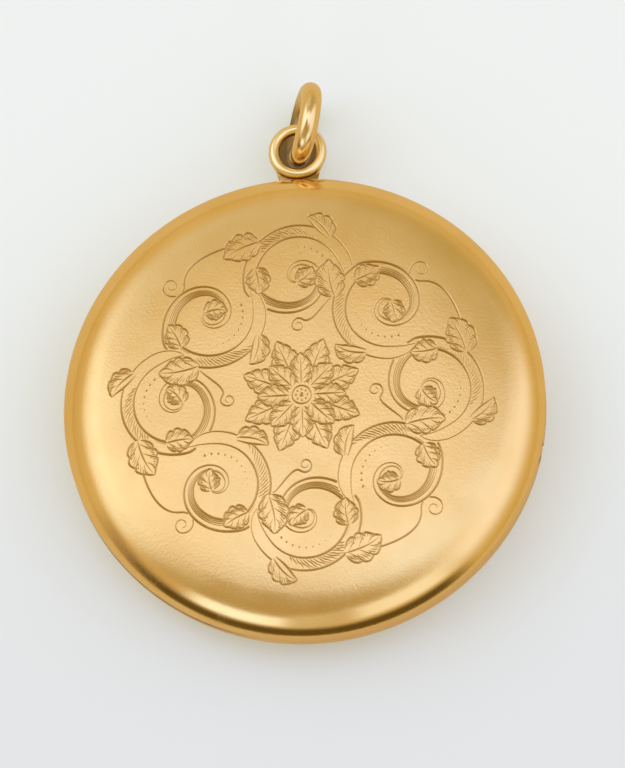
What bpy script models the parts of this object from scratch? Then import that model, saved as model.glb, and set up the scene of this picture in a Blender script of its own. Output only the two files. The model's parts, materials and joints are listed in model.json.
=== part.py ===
# Round hinged photo locket, lying on its back with the engraved face up.
# Metres, +Z up. The origin is the middle of the flat back face. +Y points to the eye that the
# locket hangs from and +X to the hinge. Both halves are turned about Z, and their outlines are
# written as (radius, distance from the seam plane).
import math

import bmesh
import bpy
from mathutils import Matrix, Vector

# Case halves
CASE_RADIUS = 0.0190
HALF_DEPTH = 0.0038  # seam plane to either face
FACE_FLAT_RADIUS = 0.0080
SHOULDER_ANGLE = math.radians(8.0)  # slope of the face where it turns into the edge roll
CORNER_ANGLE = math.radians(55.0)  # slope of the roll where it turns into the corner
FRONT_WALL = 0.0013  # straight band beside the seam
FRONT_CORNER = 0.0007  # radius between that band and the roll
BACK_WALL = 0.0004
BACK_CORNER = 0.0020
SHEET = 0.00045
SEAM_GAP = 0.0001

# Bearer rims inside the covers
SOLDER_GAP = 0.00005
RIM_WIDTH = 0.0025
SHELF_WIDTH = 0.0014
SHELF_THICKNESS = 0.00035
LIP_SETBACK = 0.0002  # rim bore to the lip that the lid closes over
LIP_THICKNESS = 0.0004
LIP_HEIGHT = 0.0006
LIP_CHAMFER = 0.0001
LIP_CLEARANCE = 0.0001

# Picture stack of each half, from the frame down to the shelf
FRAME_SINK = 0.0001
FRAME_EDGE = 0.0004
FRAME_SKIRT = 0.0008
FRAME_FACE = 0.0015
FRAME_CLEARANCE = 0.0001
WINDOW_THICKNESS = 0.00025
PHOTO_THICKNESS = 0.00012
CARD_THICKNESS = 0.0003
LAYER_GAP = 0.00005
DISC_CLEARANCE = 0.0001

# Hinge, filed flush with the round of the case
HINGE_LENGTH = 0.0074
KNUCKLE_COUNT = 5
KNUCKLE_WALL = 0.00014  # least wall outside the pin, at the two ends of the hinge
KNUCKLE_GAP = 0.00008
GROOVE_CLEARANCE = 0.00006
FLUSH_INSET = 0.00002
PIN_RADIUS = 0.0003
PIN_CLEARANCE = 0.00005
PIN_RECESS = 0.0001
LID_BEVEL = math.radians(50.0)
BACK_BEVEL = math.radians(65.0)
BEVEL_SETBACK = 0.0001

# Nick for a thumbnail, opposite the hinge
NOTCH_RADIUS = 0.0006
NOTCH_DEPTH = 0.00035

# Eye soldered to the back half
EYE_RADIUS = 0.00188
EYE_WIRE = 0.00044
EYE_STANDOFF = 0.00055
EYE_SETBACK = 0.0003  # seam plane to the middle of the eye
FOOT_WIDTH = 0.0032
FOOT_DEPTH = 0.0008
FOOT_NECK_WIDTH = 0.0030
FOOT_NECK_DEPTH = 0.00055

# Jump ring, standing on edge beside the case
JUMP_RADIUS = 0.0027
JUMP_WIRE = 0.00082
JUMP_REACH = 0.000404  # wire of the eye to the middle of the ring
JUMP_SEAT = math.radians(15.65)  # place on the wire of the eye, from its top
JUMP_TURN = math.radians(-10.24)
JUMP_LEAN = math.radians(14.0)
JUMP_REST_GAP = 0.00002

# Facets
TURN_STEPS = 60
WIRE_STEPS = 10
RING_STEPS = 32
TUBE_STEPS = 24
FOOT_STEPS = 4
OUTER_STEPS = (3, 4, 2)  # shoulder, roll and corner
INNER_STEPS = (2, 3, 2)
RIM_STEPS = 4
FRAME_STEPS = 4
SHARP_ANGLE = math.radians(32.0)
CUT_MARGIN = 0.001  # how far a cutter reaches past what it cuts
WELD = 1e-7
AXIS_DISPLAY = 0.005

# Finishes: base colour, roughness, metallic
SATIN_GOLD = ((0.86, 0.58, 0.23, 1.0), 0.34, 1.0)
POLISHED_GOLD = ((0.83, 0.53, 0.19, 1.0), 0.2, 1.0)
PIN_METAL = ((0.72, 0.55, 0.28, 1.0), 0.3, 1.0)
CLEAR = ((0.95, 0.94, 0.9, 1.0), 0.05, 0.0)
PAPER = ((0.83, 0.78, 0.68, 1.0), 0.8, 0.0)
CARD = ((0.5, 0.4, 0.28, 1.0), 0.9, 0.0)

# Levels of the stack, measured from the seam plane
SEAM_FACE = SEAM_GAP / 2.0
FRAME_TOP = SEAM_FACE + FRAME_SINK
FRAME_UNDER = FRAME_TOP + FRAME_EDGE
WINDOW_TOP = FRAME_UNDER + LAYER_GAP
PHOTO_TOP = WINDOW_TOP + WINDOW_THICKNESS + LAYER_GAP
CARD_TOP = PHOTO_TOP + PHOTO_THICKNESS + LAYER_GAP
STACK_FOOT = CARD_TOP + CARD_THICKNESS
SHELF_TOP = STACK_FOOT + LAYER_GAP
SHELF_UNDER = SHELF_TOP + SHELF_THICKNESS

# Radii of the stack, measured inwards from the cover
RIM_INSET = SHEET + SOLDER_GAP
RIM_BORE = CASE_RADIUS - RIM_INSET - RIM_WIDTH
LIP_INNER = RIM_BORE + LIP_SETBACK
LIP_OUTER = LIP_INNER + LIP_THICKNESS
FRAME_OUTER = RIM_BORE - FRAME_CLEARANCE
SKIRT_BORE = FRAME_OUTER - FRAME_SKIRT
FRAME_BORE = SKIRT_BORE - FRAME_FACE
DISC_RADIUS = SKIRT_BORE - DISC_CLEARANCE
SHELF_BORE = RIM_BORE - SHELF_WIDTH

# The hinge axis lies as far out as the pin can while its ends stay covered
HINGE_CHORD = math.sqrt(CASE_RADIUS ** 2 - (HINGE_LENGTH / 2.0) ** 2)
HINGE_X = HINGE_CHORD - KNUCKLE_WALL - PIN_CLEARANCE - PIN_RADIUS
KNUCKLE_RADIUS = CASE_RADIUS - HINGE_X
KNUCKLE_LENGTH = (HINGE_LENGTH - (KNUCKLE_COUNT - 1) * KNUCKLE_GAP) / KNUCKLE_COUNT

EYE_Y = CASE_RADIUS + EYE_STANDOFF + EYE_WIRE + EYE_RADIUS
EYE_Z = HALF_DEPTH - EYE_SETBACK
JUMP_SEAT_PLACE = (EYE_RADIUS * math.sin(JUMP_SEAT), EYE_Y + EYE_RADIUS * math.cos(JUMP_SEAT), EYE_Z)
BACK = -1.0
FRONT = 1.0


def clear_scene():
    for item in list(bpy.data.objects):
        bpy.data.objects.remove(item, do_unlink=True)


def add_axis(name, place):
    empty = bpy.data.objects.new(name, None)
    empty.empty_display_size = AXIS_DISPLAY
    empty.location = place
    bpy.context.scene.collection.objects.link(empty)
    return empty


def add_piece(name, bm, finish=None, place=(0.0, 0.0, 0.0), axis=None):
    bmesh.ops.remove_doubles(bm, verts=bm.verts, dist=WELD)
    bmesh.ops.recalc_face_normals(bm, faces=bm.faces)
    mesh = bpy.data.meshes.new(name)
    bm.to_mesh(mesh)
    bm.free()
    mesh.shade_smooth()
    mesh.set_sharp_from_angle(angle=SHARP_ANGLE)
    piece = bpy.data.objects.new(name, mesh)
    piece.location = place
    bpy.context.scene.collection.objects.link(piece)
    if axis is not None:
        piece.parent = axis
        piece.location = Vector(place) - axis.location
    if finish is None:
        piece.hide_render = True
        piece.display_type = 'WIRE'
    else:
        mesh.materials.append(make_finish(name, finish))
    return piece


def make_finish(name, finish):
    colour, roughness, metallic = finish
    material = bpy.data.materials.new(name + "_finish")
    material.use_nodes = True
    shader = material.node_tree.nodes["Principled BSDF"]
    shader.inputs["Base Color"].default_value = colour
    shader.inputs["Roughness"].default_value = roughness
    shader.inputs["Metallic"].default_value = metallic
    return material


def apply_boolean(piece, cutter, operation='DIFFERENCE'):
    cut = piece.modifiers.new(operation.lower() + "_" + cutter.name, 'BOOLEAN')
    cut.operation = operation
    cut.object = cutter
    cut.solver = 'EXACT'


def turn(outline, side):
    # An outline that starts on the axis stays open there and closes in a pole
    bm = bmesh.new()
    verts = [bm.verts.new((radius, 0.0, side * level)) for radius, level in outline]
    edges = [bm.edges.new(pair) for pair in zip(verts, verts[1:])]
    if outline[0][0] > WELD:
        edges.append(bm.edges.new((verts[-1], verts[0])))
    bmesh.ops.spin(bm, geom=verts + edges, axis=(0.0, 0.0, 1.0), cent=(0.0, 0.0, 0.0),
                   angle=2.0 * math.pi, steps=TURN_STEPS, use_merge=True)
    return bm


def wire_ring(radius, wire):
    bm = bmesh.new()
    section = bmesh.ops.create_circle(bm, segments=WIRE_STEPS, radius=wire)["verts"]
    upright = Matrix.Rotation(math.pi / 2.0, 4, 'X')
    bmesh.ops.transform(bm, verts=section, matrix=Matrix.Translation((radius, 0.0, 0.0)) @ upright)
    bmesh.ops.spin(bm, geom=bm.verts[:] + bm.edges[:], axis=(0.0, 0.0, 1.0), cent=(0.0, 0.0, 0.0),
                   angle=2.0 * math.pi, steps=RING_STEPS, use_merge=True)
    return bm


def loft(loops):
    bm = bmesh.new()
    rows = [[bm.verts.new(point) for point in loop] for loop in loops]
    for low, high in zip(rows, rows[1:]):
        for index, vert in enumerate(low):
            bm.faces.new((low[index - 1], vert, high[index], high[index - 1]))
    bm.faces.new(rows[0])
    bm.faces.new(rows[-1])
    return bm


def rod(radius, length, direction):
    bm = bmesh.new()
    bmesh.ops.create_cone(bm, cap_ends=True, segments=TUBE_STEPS, radius1=radius, radius2=radius,
                          depth=length, matrix=Vector((0.0, 0.0, 1.0)).rotation_difference(direction)
                          .to_matrix().to_4x4())
    return bm


def edge_arcs(side):
    # Shoulder, roll and corner: tangent arcs from the flat of the face to the wall of one half.
    # Each is its middle as (radius, level), its own radius and its first and last slope.
    wall = FRONT_WALL if side == FRONT else BACK_WALL
    corner = FRONT_CORNER if side == FRONT else BACK_CORNER
    low_sin = math.sin(SHOULDER_ANGLE)
    low_drop = 1.0 - math.cos(SHOULDER_ANGLE)
    roll_run = math.sin(CORNER_ANGLE) - low_sin
    roll_drop = math.cos(SHOULDER_ANGLE) - math.cos(CORNER_ANGLE)
    run = CASE_RADIUS - FACE_FLAT_RADIUS - corner * (1.0 - math.sin(CORNER_ANGLE))
    drop = HALF_DEPTH - wall - corner * math.cos(CORNER_ANGLE)
    share = low_sin * roll_drop - low_drop * roll_run
    shoulder = (run * roll_drop - drop * roll_run) / share
    roll = (drop * low_sin - run * low_drop) / share
    roll_middle = (FACE_FLAT_RADIUS + (shoulder - roll) * low_sin,
                   HALF_DEPTH - roll - (shoulder - roll) * low_drop)
    return [((FACE_FLAT_RADIUS, HALF_DEPTH - shoulder), shoulder, 0.0, SHOULDER_ANGLE),
            (roll_middle, roll, SHOULDER_ANGLE, CORNER_ANGLE),
            ((CASE_RADIUS - corner, wall), corner, CORNER_ANGLE, math.pi / 2.0)]


def shell_outline(side, inset, steps):
    # From the middle of the face out to the wall, at a depth under the outer surface
    points = [(0.0, HALF_DEPTH - inset)]
    for (middle, radius, first, last), count in zip(edge_arcs(side), steps):
        for step in range(count):
            angle = first + (last - first) * step / count
            points.append((middle[0] + (radius - inset) * math.sin(angle),
                           middle[1] + (radius - inset) * math.cos(angle)))
    points.append((CASE_RADIUS - inset, middle[1]))
    return points


def shell_radius(side, level, inset):
    # Radius of the surface at a depth under the outer one, at one level above the seam
    arcs = edge_arcs(side)[::-1]
    if level <= arcs[0][0][1]:
        return CASE_RADIUS - inset
    for middle, radius, first, last in arcs:
        if level <= middle[1] + (radius - inset) * math.cos(first):
            break
    return middle[0] + math.sqrt((radius - inset) ** 2 - (level - middle[1]) ** 2)


def cover(name, side, axis=None):
    outer = shell_outline(side, 0.0, OUTER_STEPS) + [(CASE_RADIUS, SEAM_FACE)]
    inner = shell_outline(side, SHEET, INNER_STEPS) + [(CASE_RADIUS - SHEET, SEAM_FACE)]
    return add_piece(name, turn(outer + inner[::-1], side), SATIN_GOLD, (0.0, 0.0, HALF_DEPTH), axis)


def rim_outer(side):
    # Straight beside the wall of the cover, then along the inside of its corner
    wall = min(FRONT_WALL if side == FRONT else BACK_WALL, SHELF_UNDER)
    levels = [SEAM_FACE] + [wall + (SHELF_UNDER - wall) * step / RIM_STEPS for step in range(RIM_STEPS + 1)]
    return [(shell_radius(side, level, RIM_INSET), level) for level in levels]


def shelf_step():
    return [(SHELF_BORE, SHELF_UNDER), (SHELF_BORE, SHELF_TOP), (RIM_BORE, SHELF_TOP)]


def back_rim():
    lip = [(RIM_BORE, SEAM_FACE), (LIP_INNER, SEAM_FACE), (LIP_INNER, LIP_CHAMFER - LIP_HEIGHT),
           (LIP_INNER + LIP_CHAMFER, -LIP_HEIGHT), (LIP_OUTER - LIP_CHAMFER, -LIP_HEIGHT),
           (LIP_OUTER, LIP_CHAMFER - LIP_HEIGHT), (LIP_OUTER, SEAM_FACE)]
    outline = rim_outer(BACK) + shelf_step() + lip
    return add_piece("back_rim", turn(outline, BACK), POLISHED_GOLD, (0.0, 0.0, HALF_DEPTH))


def front_rim(axis):
    roof = LIP_HEIGHT + LIP_CLEARANCE
    wall = LIP_OUTER + LIP_CLEARANCE
    rebate = [(RIM_BORE, roof), (wall, roof), (wall, SEAM_FACE)]
    outline = rim_outer(FRONT) + shelf_step() + rebate
    return add_piece("front_rim", turn(outline, FRONT), POLISHED_GOLD, (0.0, 0.0, HALF_DEPTH), axis)


def photo_frame(name, side, axis=None):
    # The face slopes down to the picture in a quarter round
    thin = FRAME_EDGE / 2.0
    slopes = [math.pi / 2.0 * step / FRAME_STEPS for step in range(FRAME_STEPS + 1)]
    round_over = [(SKIRT_BORE - FRAME_FACE * math.sin(slope), FRAME_TOP + thin * (1.0 - math.cos(slope)))
                  for slope in slopes]
    outline = round_over + [(FRAME_BORE, FRAME_UNDER), (SKIRT_BORE, FRAME_UNDER), (SKIRT_BORE, STACK_FOOT),
                            (FRAME_OUTER, STACK_FOOT), (FRAME_OUTER, FRAME_TOP + thin),
                            (FRAME_OUTER - thin, FRAME_TOP)]
    return add_piece(name, turn(outline, side), POLISHED_GOLD, (0.0, 0.0, HALF_DEPTH), axis)


def disc(name, side, top, thickness, finish, axis=None):
    outline = [(0.0, top), (DISC_RADIUS, top), (DISC_RADIUS, top + thickness), (0.0, top + thickness)]
    return add_piece(name, turn(outline, side), finish, (0.0, 0.0, HALF_DEPTH), axis)


def picture_stack(half, side, axis=None):
    photo_frame(half + "_photo_frame", side, axis)
    disc(half + "_window", side, WINDOW_TOP, WINDOW_THICKNESS, CLEAR, axis)
    disc(half + "_photo", side, PHOTO_TOP, PHOTO_THICKNESS, PAPER, axis)
    disc(half + "_backing_card", side, CARD_TOP, CARD_THICKNESS, CARD, axis)


def hinge_groove():
    bm = rod(KNUCKLE_RADIUS + GROOVE_CLEARANCE, HINGE_LENGTH + 2.0 * KNUCKLE_GAP, Vector((0.0, 1.0, 0.0)))
    return add_piece("cut_hinge_groove", bm, place=(HINGE_X, 0.0, HALF_DEPTH))


def hinge_bevel(name, side, angle):
    # Wedge taken off a half outside the hinge axis, so that the lid can swing past upright
    apex = HINGE_X - BEVEL_SETBACK
    far = CASE_RADIUS + CUT_MARGIN
    rise = side * (far - apex) * math.tan(angle)
    section = [(apex, -side * SEAM_GAP), (far, -side * SEAM_GAP), (far, rise), (apex, 0.0)]
    loops = [[(x, y, z) for x, z in section] for y in (-CASE_RADIUS, CASE_RADIUS)]
    return add_piece(name, loft(loops), place=(0.0, 0.0, HALF_DEPTH))


def thumb_notch():
    bm = rod(NOTCH_RADIUS, NOTCH_DEPTH + CUT_MARGIN, Vector((1.0, 0.0, 0.0)))
    middle = CASE_RADIUS - NOTCH_DEPTH + (NOTCH_DEPTH + CUT_MARGIN) / 2.0
    return add_piece("cut_thumb_notch", bm, place=(-middle, 0.0, HALF_DEPTH))


def case_round():
    bm = bmesh.new()
    bmesh.ops.create_cone(bm, cap_ends=True, segments=TURN_STEPS, radius1=CASE_RADIUS - FLUSH_INSET,
                          radius2=CASE_RADIUS - FLUSH_INSET, depth=2.0 * (KNUCKLE_RADIUS + CUT_MARGIN))
    return add_piece("cut_case_round", bm, place=(0.0, 0.0, HALF_DEPTH))


def knuckle(number, flush, axis=None):
    # A tube on the hinge axis, filed to the round of the case
    bm = bmesh.new()
    half = KNUCKLE_LENGTH / 2.0
    bore = PIN_RADIUS + PIN_CLEARANCE
    outline = [(bore, -half), (KNUCKLE_RADIUS, -half), (KNUCKLE_RADIUS, half), (bore, half)]
    verts = [bm.verts.new((radius, along, 0.0)) for radius, along in outline]
    edges = [bm.edges.new((verts[index - 1], vert)) for index, vert in enumerate(verts)]
    bmesh.ops.spin(bm, geom=verts + edges, axis=(0.0, 1.0, 0.0), cent=(0.0, 0.0, 0.0),
                   angle=2.0 * math.pi, steps=TUBE_STEPS, use_merge=True)
    along = (number - (KNUCKLE_COUNT - 1) / 2.0) * (KNUCKLE_LENGTH + KNUCKLE_GAP)
    name = "hinge_knuckle_" + str(number + 1)
    piece = add_piece(name, bm, POLISHED_GOLD, (HINGE_X, along, HALF_DEPTH), axis)
    apply_boolean(piece, flush, 'INTERSECT')


def hinge_pin():
    bm = rod(PIN_RADIUS, HINGE_LENGTH - 2.0 * PIN_RECESS, Vector((0.0, 1.0, 0.0)))
    add_piece("hinge_pin", bm, PIN_METAL, (HINGE_X, 0.0, HALF_DEPTH))


def case_body():
    # The closed case, a solder gap larger all round, which the foot of the eye is fitted to
    front = shell_outline(FRONT, -SOLDER_GAP, OUTER_STEPS)
    back = [(radius, -level) for radius, level in shell_outline(BACK, -SOLDER_GAP, OUTER_STEPS)]
    return add_piece("cut_case_body", turn(front + back[::-1], FRONT), place=(0.0, 0.0, HALF_DEPTH))


def eye_foot():
    # A flared neck from the wire of the eye down into the case wall
    neck = EYE_STANDOFF + EYE_WIRE
    loops = []
    for step in range(FOOT_STEPS + 1):
        share = step / FOOT_STEPS
        flare = share ** 2
        wide = (FOOT_NECK_WIDTH + (FOOT_WIDTH - FOOT_NECK_WIDTH) * flare) / 2.0
        deep = (FOOT_NECK_DEPTH + (FOOT_DEPTH - FOOT_NECK_DEPTH) * flare) / 2.0
        along = CASE_RADIUS + neck * (1.0 - share) - EYE_WIRE * share
        loops.append([(wide * math.cos(angle), along, deep * math.sin(angle))
                      for angle in (2.0 * math.pi * index / WIRE_STEPS for index in range(WIRE_STEPS))])
    return add_piece("join_eye_foot", loft(loops), place=(0.0, 0.0, EYE_Z))


def pendant_eye():
    eye = add_piece("pendant_eye", wire_ring(EYE_RADIUS, EYE_WIRE), POLISHED_GOLD, (0.0, EYE_Y, EYE_Z))
    apply_boolean(eye, eye_foot(), 'UNION')
    apply_boolean(eye, case_body())


def jump_pose():
    return Matrix.Rotation(JUMP_TURN, 4, 'Z') @ Matrix.Rotation(JUMP_LEAN, 4, 'Y')


def jump_middle():
    # The ring's own plane passes through its seat on the eye, and its lowest point is at the table
    middle_z = JUMP_RADIUS * math.cos(JUMP_LEAN) + JUMP_WIRE + JUMP_REST_GAP
    drop = (middle_z - EYE_Z) / math.cos(JUMP_LEAN)
    return Vector(JUMP_SEAT_PLACE) + jump_pose() @ Vector((0.0, JUMP_REACH, drop))


def jump_ring(axis):
    bm = wire_ring(JUMP_RADIUS, JUMP_WIRE)
    ring = add_piece("jump_ring", bm, POLISHED_GOLD, axis.location, axis)
    ring.rotation_euler = (jump_pose() @ Matrix.Rotation(math.pi / 2.0, 4, 'Y')).to_euler()


def build():
    clear_scene()
    lid_axis = add_axis("lid_hinge_axis", (HINGE_X, 0.0, HALF_DEPTH))
    ring_axis = add_axis("jump_ring_axis", jump_middle())
    groove = hinge_groove()
    lid_bevel = hinge_bevel("cut_lid_bevel", FRONT, LID_BEVEL)
    back_bevel = hinge_bevel("cut_back_bevel", BACK, BACK_BEVEL)
    lid = cover("front_cover", FRONT, lid_axis)
    apply_boolean(lid, thumb_notch())
    for piece in (lid, front_rim(lid_axis)):
        apply_boolean(piece, groove)
        apply_boolean(piece, lid_bevel)
    for piece in (cover("back_cover", BACK), back_rim()):
        apply_boolean(piece, groove)
        apply_boolean(piece, back_bevel)
    picture_stack("front", FRONT, lid_axis)
    picture_stack("back", BACK)
    flush = case_round()
    for number in range(KNUCKLE_COUNT):
        knuckle(number, flush, lid_axis if number % 2 else None)
    hinge_pin()
    pendant_eye()
    jump_ring(ring_axis)


build()
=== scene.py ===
import json
import math

import bmesh
import bpy
import numpy as np
from mathutils import Matrix, Vector
from mathutils.geometry import delaunay_2d_cdt


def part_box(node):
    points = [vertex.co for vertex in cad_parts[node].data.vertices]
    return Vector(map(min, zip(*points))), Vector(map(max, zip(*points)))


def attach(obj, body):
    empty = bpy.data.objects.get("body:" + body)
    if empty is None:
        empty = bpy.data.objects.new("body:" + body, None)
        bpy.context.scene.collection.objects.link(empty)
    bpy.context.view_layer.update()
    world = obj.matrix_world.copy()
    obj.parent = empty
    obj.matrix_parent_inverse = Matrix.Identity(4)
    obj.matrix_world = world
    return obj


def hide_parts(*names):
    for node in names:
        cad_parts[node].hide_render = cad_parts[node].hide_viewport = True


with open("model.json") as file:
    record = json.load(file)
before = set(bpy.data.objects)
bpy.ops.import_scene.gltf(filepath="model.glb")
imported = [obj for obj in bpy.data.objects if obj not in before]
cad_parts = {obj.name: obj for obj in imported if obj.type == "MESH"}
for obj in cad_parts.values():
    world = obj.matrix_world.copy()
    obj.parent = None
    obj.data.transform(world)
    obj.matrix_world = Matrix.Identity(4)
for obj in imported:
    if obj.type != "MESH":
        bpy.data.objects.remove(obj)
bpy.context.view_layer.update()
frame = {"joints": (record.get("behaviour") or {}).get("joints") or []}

# Outlines below are in millimetres, as (radius, level above or below the seam)
mm = 0.001
front, back = 1, -1
lidLow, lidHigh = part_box("front_cover")
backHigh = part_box("back_cover")[1]
seamZ = (lidLow.z + backHigh.z) / 2.0 / mm
seamFace = (lidLow.z - backHigh.z) / 2.0 / mm
caseRadius = lidHigh.y / mm
halfDepth = lidHigh.z / mm - seamZ
jointAt = {joint["name"]: joint for joint in frame["joints"]}
hingeX = jointAt["lid_hinge"]["pos_m"][0] / mm

caseShape = {
    "flatRadius": 8.0,
    "crown": 0.2,               # rise of the lid's middle over a flat one
    "tighten": 7,               # power of the curve that takes the crown down into the roll
    "shoulderSlope": 8.0,       # degrees, where the face turns into the roll
    # wall height, corner radius and the slope in degrees where the roll turns into the corner
    "edge": {front: (1.08, 0.25, 54.0), back: (0.4, 2.0, 55.0)},
    "lining": {front: (1.3, 0.7, 55.0), back: (0.4, 2.0, 55.0)},
    "sheet": 0.45,
    "seam": 0.01,               # half the gap left between the closed halves
    "edgeBreak": 0.03,          # rounded arris at the seam
    "skinAngle": 14.0,          # degrees, how far a face of the outer skin may lean off its true slope
    "turnSteps": 240,
    "arcSteps": (10, 16, 10),
    "insideSteps": (3, 8, 6),
}


def edgeArcs(side, skin="edge"):
    # tangent shoulder, roll and corner: middle, radius, first and last slope
    wall, corner, cornerSlope = caseShape[skin][side]
    low, high = math.radians(caseShape["shoulderSlope"]), math.radians(cornerSlope)
    flat = caseShape["flatRadius"]
    rollRun = math.sin(high) - math.sin(low)
    rollDrop = math.cos(low) - math.cos(high)
    run = caseRadius - flat - corner * (1.0 - math.sin(high))
    drop = halfDepth - wall - corner * math.cos(high)
    share = math.sin(low) * rollDrop - (1.0 - math.cos(low)) * rollRun
    shoulder = (run * rollDrop - drop * rollRun) / share
    roll = (drop * math.sin(low) - run * (1.0 - math.cos(low))) / share
    rollMiddle = (flat + (shoulder - roll) * math.sin(low),
                  halfDepth - roll - (shoulder - roll) * (1.0 - math.cos(low)))
    return [((flat, halfDepth - shoulder), shoulder, 0.0, low),
            (rollMiddle, roll, low, high),
            ((caseRadius - corner, wall), corner, high, math.pi / 2.0)]


def shellOutline(side, inset, steps):
    points = [(0.0, halfDepth - inset)]
    arcs = edgeArcs(side, "lining" if inset > 0.0 else "edge")
    for (middle, radius, first, last), count in zip(arcs, steps):
        for step in range(count):
            slope = first + (last - first) * step / count
            points.append((middle[0] + (radius - inset) * math.sin(slope),
                           middle[1] + (radius - inset) * math.cos(slope)))
    points.append((caseRadius - inset, middle[1]))
    return points


def faceRim():
    # the engraved face ends one step into the roll
    return shellOutline(front, 0.0, caseShape["arcSteps"])[caseShape["arcSteps"][0] + 2]


def crownCurve():
    # the lid's slope grows steadily from its middle, then tightens into the roll
    power = caseShape["tighten"]
    rim, level = faceRim()
    middle, reach, _, _ = edgeArcs(front)[1]
    slope = math.tan(math.asin((rim - middle[0]) / reach))
    top = halfDepth + caseShape["crown"]
    steady = (top - level - slope * rim / power) / (rim * rim * (1.0 / 2.0 - 1.0 / power))
    return rim, top, steady, slope - steady * rim


def faceLevel(radius):
    # height of the engraved face over the seam
    power = caseShape["tighten"]
    rim, top, steady, tight = crownCurve()
    return top - steady * radius ** 2 / 2.0 - tight * rim / power * (radius / rim) ** power


def faceSlope(radius, side):
    # slope of the outer skin by its radius alone
    slope = np.zeros_like(radius)
    for middle, reach, first, _ in edgeArcs(side):
        start = middle[0] + reach * math.sin(first)
        share = np.clip((radius - middle[0]) / reach, 0.0, 1.0)
        slope = np.where(radius >= start - 1e-6, np.arcsin(share), slope)
    if side == front:
        rim, _, steady, tight = crownCurve()
        crown = np.arctan(steady * radius + tight * (radius / rim) ** (caseShape["tighten"] - 1))
        slope = np.where(radius < rim, crown, slope)
    return slope


# Mesh helpers
def skinRows(bm, rows, closed=False):
    # faces between neighbouring rows of points; a row of one point is a pole
    pairs = list(zip(rows, rows[1:])) + ([(rows[-1], rows[0])] if closed else [])
    for one, two in pairs:
        count = max(len(one), len(two))
        for k in range(count):
            j = (k + 1) % count
            if len(one) == 1:
                bm.faces.new((one[0], two[k], two[j]))
            elif len(two) == 1:
                bm.faces.new((one[k], two[0], one[j]))
            else:
                bm.faces.new((one[k], two[k], two[j], one[j]))
    bmesh.ops.recalc_face_normals(bm, faces=bm.faces)
    return bm


def turned(outline, side=front, steps=None, level=None):
    # spins an outline about the case's axis; an outline that starts on the axis closes in two poles
    steps = steps or caseShape["turnSteps"]
    level = seamZ if level is None else level
    turns = [2.0 * math.pi * k / steps for k in range(steps)]
    bm = bmesh.new()
    rings = []
    for radius, height in outline:
        z = (level + side * height) * mm
        points = [(radius * mm * math.cos(a), radius * mm * math.sin(a), z) for a in turns]
        rings.append([bm.verts.new(point) for point in (points if radius > 1e-6 else [(0.0, 0.0, z)])])
    return skinRows(bm, rings, closed=len(rings[0]) > 1)


def tube(radius, length, direction, place, steps=64):
    bm = bmesh.new()
    turn = Vector((0.0, 0.0, 1.0)).rotation_difference(Vector(direction)).to_matrix().to_4x4()
    bmesh.ops.create_cone(bm, cap_ends=True, segments=steps, radius1=radius * mm, radius2=radius * mm,
                          depth=length * mm, matrix=Matrix.Translation(Vector(place) * mm) @ turn)
    return bm


def wireRing(radius, wire, place, pose, around=160, across=40):
    bm = bmesh.new()
    rows = []
    for k in range(around):
        a = 2.0 * math.pi * k / around
        row = []
        for j in range(across):
            b = 2.0 * math.pi * j / across
            reach = radius + wire * math.cos(b)
            point = pose @ Vector((reach * math.cos(a), reach * math.sin(a), wire * math.sin(b)))
            row.append(bm.verts.new((Vector(place) + point) * mm))
        rows.append(row)
    return skinRows(bm, rows, closed=True)


def loose(bm, name):
    mesh = bpy.data.meshes.new(name)
    bm.to_mesh(mesh)
    bm.free()
    obj = bpy.data.objects.new(name, mesh)
    bpy.context.scene.collection.objects.link(obj)
    return obj


def carve(obj, tools, operation='DIFFERENCE'):
    # applies booleans and throws the tools away
    for tool in tools:
        cut = obj.modifiers.new("carve", 'BOOLEAN')
        cut.operation = operation
        cut.object = tool
        cut.solver = 'EXACT'
    bakeModifiers(obj)
    for tool in tools:
        bpy.data.objects.remove(tool, do_unlink=True)
    return obj


def bakeModifiers(obj):
    bpy.context.view_layer.update()
    shaped = obj.evaluated_get(bpy.context.evaluated_depsgraph_get())
    mesh = bpy.data.meshes.new_from_object(shaped)
    old = obj.data
    obj.modifiers.clear()
    obj.data = mesh
    bpy.data.meshes.remove(old)


def shade(obj, degrees=28.0):
    obj.data.shade_smooth()
    obj.data.set_sharp_from_angle(angle=math.radians(degrees))
    return obj


def dress(obj, node, body, material):
    obj.data.materials.clear()
    obj.data.materials.append(material)
    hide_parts(node)
    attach(obj, body)


# Shader groups shared by the finishes
def newGroup(name, inputs, *outputs):
    # a tuple makes a colour socket, a number makes a value socket
    group = bpy.data.node_groups.new(name, 'ShaderNodeTree')
    for label, value in inputs.items():
        kind = 'NodeSocketColor' if isinstance(value, tuple) else 'NodeSocketFloat'
        group.interface.new_socket(label, in_out='INPUT', socket_type=kind).default_value = value
    for label in outputs:
        kind = 'NodeSocketColor' if label == "Color" else 'NodeSocketFloat'
        group.interface.new_socket(label, in_out='OUTPUT', socket_type=kind)
    return group, group.nodes.new('NodeGroupInput').outputs, group.nodes.new('NodeGroupOutput').inputs


def feed(tree, socket, value):
    # a plain value is set on the socket, another node's output is linked to it
    if isinstance(value, (int, float, tuple)):
        socket.default_value = value
    else:
        tree.links.new(value, socket)


def mathNode(tree, operation, *values):
    node = tree.nodes.new('ShaderNodeMath')
    node.operation = operation
    for socket, value in zip(node.inputs, values):
        feed(tree, socket, value)
    return node.outputs[0]


def times(tree, first, *others):
    for other in others:
        first = mathNode(tree, 'MULTIPLY', first, other)
    return first


def minus(tree, a, b):
    return mathNode(tree, 'SUBTRACT', a, b)


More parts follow.
